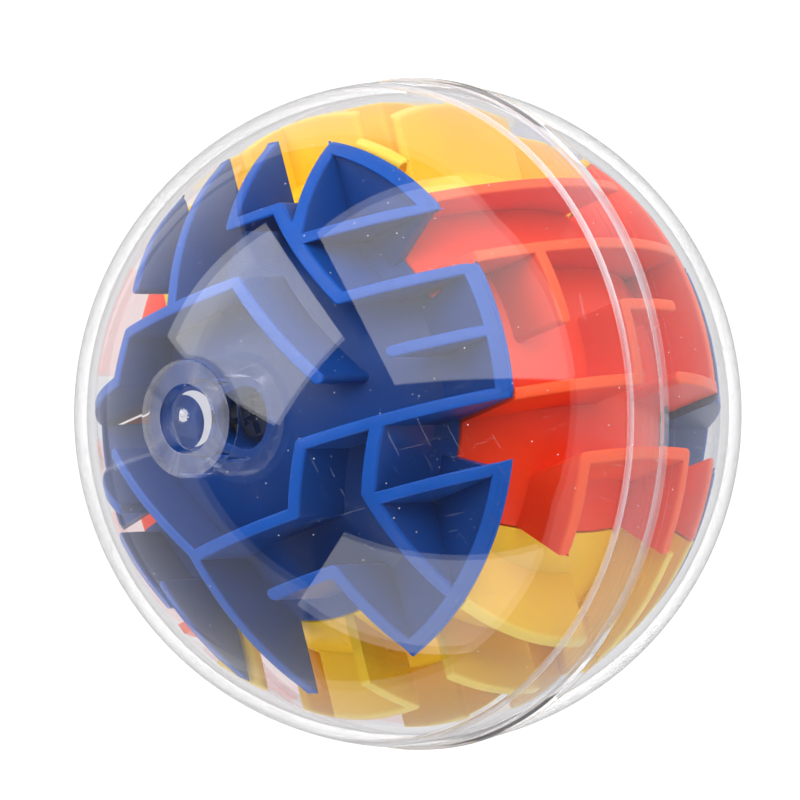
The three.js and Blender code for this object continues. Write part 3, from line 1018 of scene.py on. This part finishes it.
def screw_recipe():
    made = Recipe("Thread and cross", {
        "Turns": float, "Shank radius": float, "Thread depth": float,
        "Thread length": float, "Thread start": float,
        "Cross width": float, "Cross length": float, "Cross height": float, "Cross depth": float,
        "Material": "material",
    })
    path = made.wire("GeometryNodeCurveSpiral", None, {
        "Resolution": 24, "Rotations": made.given("Turns"),
        "Start Radius": made.given("Shank radius") * 0.55, "End Radius": made.given("Shank radius"),
        "Height": made.given("Thread length"),
    })
    lifted = made.wire("GeometryNodeTransform", None, {
        "Geometry": path,
        "Translation": made.wire("ShaderNodeCombineXYZ", None, {2: made.given("Thread start")}),
    })
    ridge = made.wire("GeometryNodeCurvePrimitiveCircle", None, {
        "Resolution": 3, "Radius": made.given("Thread depth"),
    })
    thread = made.wire("GeometryNodeCurveToMesh", None, {
        "Curve": lifted, "Profile Curve": ridge, "Fill Caps": True,
    })
    bars = made.node("GeometryNodeJoinGeometry")
    for wide, long in (("Cross width", "Cross length"), ("Cross length", "Cross width")):
        size = made.wire("ShaderNodeCombineXYZ", None, {
            0: made.given(long), 1: made.given(wide), 2: made.given("Cross depth") * 2,
        })
        bar = made.wire("GeometryNodeMeshCube", None, {"Size": size}, "Mesh")
        set_in = made.wire("GeometryNodeTransform", None, {
            "Geometry": bar,
            "Translation": made.wire("ShaderNodeCombineXYZ", None, {2: made.given("Cross height")}),
        })
        made.tree.links.new(set_in.socket, bars.inputs[0])
    cut = made.wire("GeometryNodeMeshBoolean", {"operation": "DIFFERENCE", "solver": "EXACT"}, {
        "Mesh 1": made.given("Start"), "Mesh 2": Wire(made, bars.outputs[0]), "Self Intersection": True,
    }, "Mesh")
    whole = made.node("GeometryNodeJoinGeometry")
    made.tree.links.new(cut.socket, whole.inputs[0])
    made.tree.links.new(thread.socket, whole.inputs[0])
    return made.close(Wire(made, whole.outputs[0]))


THREAD_CORE_R = SHANK_R * 0.85
SCREW_SEAT_Z = WELL_FLOOR_Z + PLAY
SCREW_TIP_Z = 13.5
HEAD_R = 3.0
HEAD_HEIGHT = 2.0


def screw_blank():
    outline = [(0, SCREW_TIP_Z), (SHANK_R * 0.55, SCREW_TIP_Z + 0.6)]
    outline += [(THREAD_CORE_R, SCREW_TIP_Z + 2), (THREAD_CORE_R, SCREW_SEAT_Z)]
    outline += [(HEAD_R, SCREW_SEAT_Z), (HEAD_R, SCREW_SEAT_Z + 0.9)]
    outline += [(HEAD_R * 0.93, SCREW_SEAT_Z + 1.4), (HEAD_R * 0.75, SCREW_SEAT_Z + 1.8)]
    outline.append((0, SCREW_SEAT_Z + HEAD_HEIGHT))
    return mesh_from("screw_blank", turned(outline, turns=64, soft=0.12))


cut_thread = screw_recipe()
screw_mesh = cut_thread.grow("screw", screw_blank(), {
    "Turns": 9.0, "Shank radius": THREAD_CORE_R * MM, "Thread depth": SHANK_R * 0.15 * MM,
    "Thread length": 9.6 * MM, "Thread start": 14.4 * MM,
    "Cross width": 0.9 * MM, "Cross length": 3.9 * MM,
    "Cross height": (SCREW_SEAT_Z + HEAD_HEIGHT) * MM, "Cross depth": 1.1 * MM,
    "Material": screw_steel,
})
back_screw_mesh = screw_mesh.copy()
back_screw_mesh.transform(OVER)
piece("core_column_post", finished(column_mesh()), white_plastic, "puzzle", "core_column")
piece("screw_in_front_cap", finished(screw_mesh), screw_steel, "puzzle", "screw_front")
piece("screw_in_back_cap", finished(back_screw_mesh), screw_steel, "puzzle", "screw_back")

# %% [markdown]
# The rolling ball is a polished bearing ball. It lies at the lowest place of the
# gap, against the back post, and it is the one piece that moves.

# %% The steel ball
orbit = POST_R + PLAY + ROLL_R
rest_z = -on_sphere(SHELL_IN_R - PLAY - ROLL_R, orbit)
work = bmesh.new()
bmesh.ops.create_icosphere(work, subdivisions=5, radius=ROLL_R * MM)
bmesh.ops.translate(work, verts=work.verts, vec=Vector((orbit, 0, rest_z)) * MM)
ball_mesh = bpy.data.meshes.new("steel_ball")
work.to_mesh(ball_mesh)
work.free()
piece("rolling_steel_ball", finished(ball_mesh), ball_steel, "steel_ball", "steel_ball")
print(f"the ball circles the post at {orbit:.2f} mm")

# %% [markdown]
# The toy stands on the flat of its back pole, and the viewer looks down on the
# front half from the side. The viewing angle is worked out from three facts: how
# far the polar axis leans away, how much it rolls, and how the core is turned.

# %% The camera
LEAN = math.radians(41.2)
ROLL = math.radians(1.1)
CORE_TURN = math.radians(18)
DISTANCE = 1.04
LENS = 390.3
LOOKS_PAST = (-0.00094, 0.00170)    # how far aside and above the middle the camera looks
pole = Vector((-math.sin(LEAN) * math.cos(ROLL), -math.sin(LEAN) * math.sin(ROLL), math.cos(LEAN)))
up = Vector((0, 1, 0))
side_up = (up - pole * up.dot(pole)).normalized()
side = side_up.cross(pole)
toy_x = side * math.cos(CORE_TURN) + side_up * math.sin(CORE_TURN)
toy_y = side_up * math.cos(CORE_TURN) - side * math.sin(CORE_TURN)
to_world = Matrix((toy_x, toy_y, pole))
camera_data = bpy.data.cameras.new("camera")
camera_data.lens = LENS
camera_data.sensor_width = 36
camera_data.clip_start = 0.05
camera = bpy.data.objects.new("camera", camera_data)
bpy.context.scene.collection.objects.link(camera)
camera.matrix_world = (
    Matrix.Translation(to_world @ Vector((*LOOKS_PAST, DISTANCE))) @ to_world.to_4x4())
bpy.context.scene.camera = camera
print("camera at", [round(c, 3) for c in camera.matrix_world.translation])

# %% [markdown]
# A bright, even table and five large soft lamps make the studio. The lamps are what
# the clear shell mirrors, so they are placed by where their reflections fall: a
# window-like patch up on the left, a broad one over the top, a low one in front,
# and two weak ones on the left that pale the shell's outline there.

# %% The studio
def bright_table(name):
    """White that lights the toy like paper, and that looks evenly bright itself."""
    material = bpy.data.materials.new(name)
    material.use_nodes = True
    nodes = material.node_tree.nodes
    nodes.remove(nodes["Principled BSDF"])
    graph = Graph(material.node_tree)
    path = graph.node("ShaderNodeLightPath")
    seen = Wire(graph, path.outputs["Is Camera Ray"])
    through = Wire(graph, path.outputs["Is Transmission Ray"])
    glossy = Wire(graph, path.outputs["Is Glossy Ray"])
    mirrored = (glossy - through).at_least(0.0)
    paper = graph.wire("ShaderNodeBsdfDiffuse", None, {"Color": (0.9, 0.9, 0.9, 1)})
    strength = 0.88 + 0.24 * seen - 0.33 * mirrored
    even = graph.wire(
        "ShaderNodeEmission", None,
        {"Color": (1, 1, 1, 1), "Strength": strength})
    shown = seen.at_least(through).at_least(mirrored)
    table = graph.wire("ShaderNodeMixShader", None, {0: shown, 1: paper, 2: even})
    material.node_tree.links.new(table.socket, nodes["Material Output"].inputs["Surface"])
    return material


table_z = plain_box[0][2]
TABLE_HALF = 0.3
table_mesh = bpy.data.meshes.new("table")
corners = [(-1, -1), (1, -1), (1, 1), (-1, 1)]
table_mesh.from_pydata([(x * TABLE_HALF, y * TABLE_HALF, table_z) for x, y in corners], [], [(0, 1, 2, 3)])
table_mesh.materials.append(bright_table("table_white"))
table = bpy.data.objects.new("table", table_mesh)
bpy.context.scene.collection.objects.link(table)


def softbox(name, towards, spin, width, height, distance, power, colour=(1, 1, 1)):
    """A rectangular lamp that faces the toy from a direction in the viewer's frame."""
    data = bpy.data.lights.new(name, "AREA")
    data.shape = "RECTANGLE"
    data.size = width
    data.size_y = height
    data.energy = power
    data.color = colour
    lamp = bpy.data.objects.new(name, data)
    bpy.context.scene.collection.objects.link(lamp)
    front = Vector(towards).normalized()
    across = Vector((0, 1, 0)).cross(front).normalized()
    axes = Matrix((across, front.cross(across), front)).transposed()
    turned_axes = to_world @ axes @ Matrix.Rotation(math.radians(spin), 3, "Z")
    lamp.matrix_world = Matrix.Translation(to_world @ front * distance) @ turned_axes.to_4x4()
    return lamp


softbox("window_left", (-0.788, 0.446, 0.440), -27, 1.09, 0.74, 1.0, 6.2)
softbox("bounce_left", (-0.75, -0.60, -0.25), 0, 1.1, 1.1, 1.0, 2.0)
softbox("bounce_side", (-0.93, 0.35, -0.30), 0, 1.0, 1.1, 1.0, 2.4)
softbox("canopy_top", (0.30, 0.75, 0.59), 0, 1.5, 1.5, 1.0, 12.5)
softbox("bounce_low", (0.10, -0.93, 0.35), 0, 1.3, 0.7, 1.0, 4.5)


def bright_room(name):
    """White to look at, straight or through the clear shell, and a dim grey to light the toy with.

    The outer face of the shell also mirrors a pale backdrop behind the toy.
    """
    room = bpy.data.worlds.new(name)
    room.use_nodes = True
    graph = Graph(room.node_tree)
    shade = room.node_tree.nodes["Background"]
    path = graph.node("ShaderNodeLightPath")
    seen = Wire(graph, path.outputs["Is Camera Ray"])
    through = Wire(graph, path.outputs["Is Transmission Ray"])
    glossy = Wire(graph, path.outputs["Is Glossy Ray"])
    undiffused = Wire(graph, path.outputs["Diffuse Depth"]) < 0.5
    unmirrored = Wire(graph, path.outputs["Glossy Depth"]) < 0.5
    outside = Wire(graph, path.outputs["Transmission Depth"]) < 0.5
    heading = graph.wire("ShaderNodeTexCoord", output="Generated")
    away = graph.wire(
        "ShaderNodeVectorMath", {"operation": "DOT_PRODUCT"},
        {0: heading, 1: to_world @ Vector((0, 0, -1))}, "Value",
    )
    backdrop = graph.wire("ShaderNodeMapRange", None, {"Value": away, "From Min": 0.2, "From Max": 0.8})
    behind = 0.80 * through * unmirrored + 0.5 * backdrop * glossy * outside
    shade.inputs["Color"].default_value = (0.96, 0.97, 1.0, 1)
    graph.join(shade.inputs["Strength"], 0.08 + 1.1 * seen + behind * undiffused)
    return room


bpy.context.scene.world = bright_room("room")
bpy.context.scene.view_settings.view_transform = "Standard"
print("table at", round(table_z, 4))
